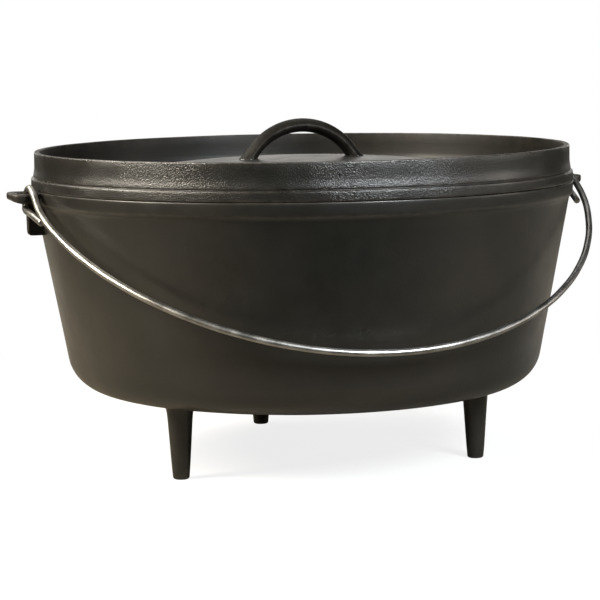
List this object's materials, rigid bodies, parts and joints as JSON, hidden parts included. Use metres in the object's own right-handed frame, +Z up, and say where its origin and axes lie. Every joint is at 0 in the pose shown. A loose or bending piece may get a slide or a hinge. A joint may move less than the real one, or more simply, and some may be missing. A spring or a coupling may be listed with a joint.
{
  "type": "camp dutch oven",
  "caption": "Three-legged cast iron camp oven: deep tapered pot, flanged lid with a raised rim and loop handle, and a swinging wire bail.",
  "frame": {"origin": "on the floor under the pot's turning axis", "axes": "+X through one bail ear, the bail hangs on the -Y side, +Z up"},
  "size_m": [0.4082, 0.373, 0.2342],
  "materials": {
    "pot_iron": "seasoned, fine sand-cast grain, satin",
    "lid_iron": "seasoned, coarser sand-cast grain, satin",
    "bail_wire": "bright zinc-plated drawn wire"
  },
  "bodies": {
    "pot": {"pot": "pot_iron"},
    "lid": {"lid": "lid_iron"},
    "bail": {"bail": "bail_wire"}
  },
  "joints": [
    {"name": "lid_lift", "type": "slide", "parent": "pot", "child": "lid", "axis": [0, 0, 1], "range_m": [0, 0.3]},
    {"name": "bail_swing", "type": "hinge", "parent": "pot", "child": "bail", "pos_m": [0, -0.013, 0.186], "axis": [-1, 0, 0], "range_deg": [0, 150]}
  ]
}
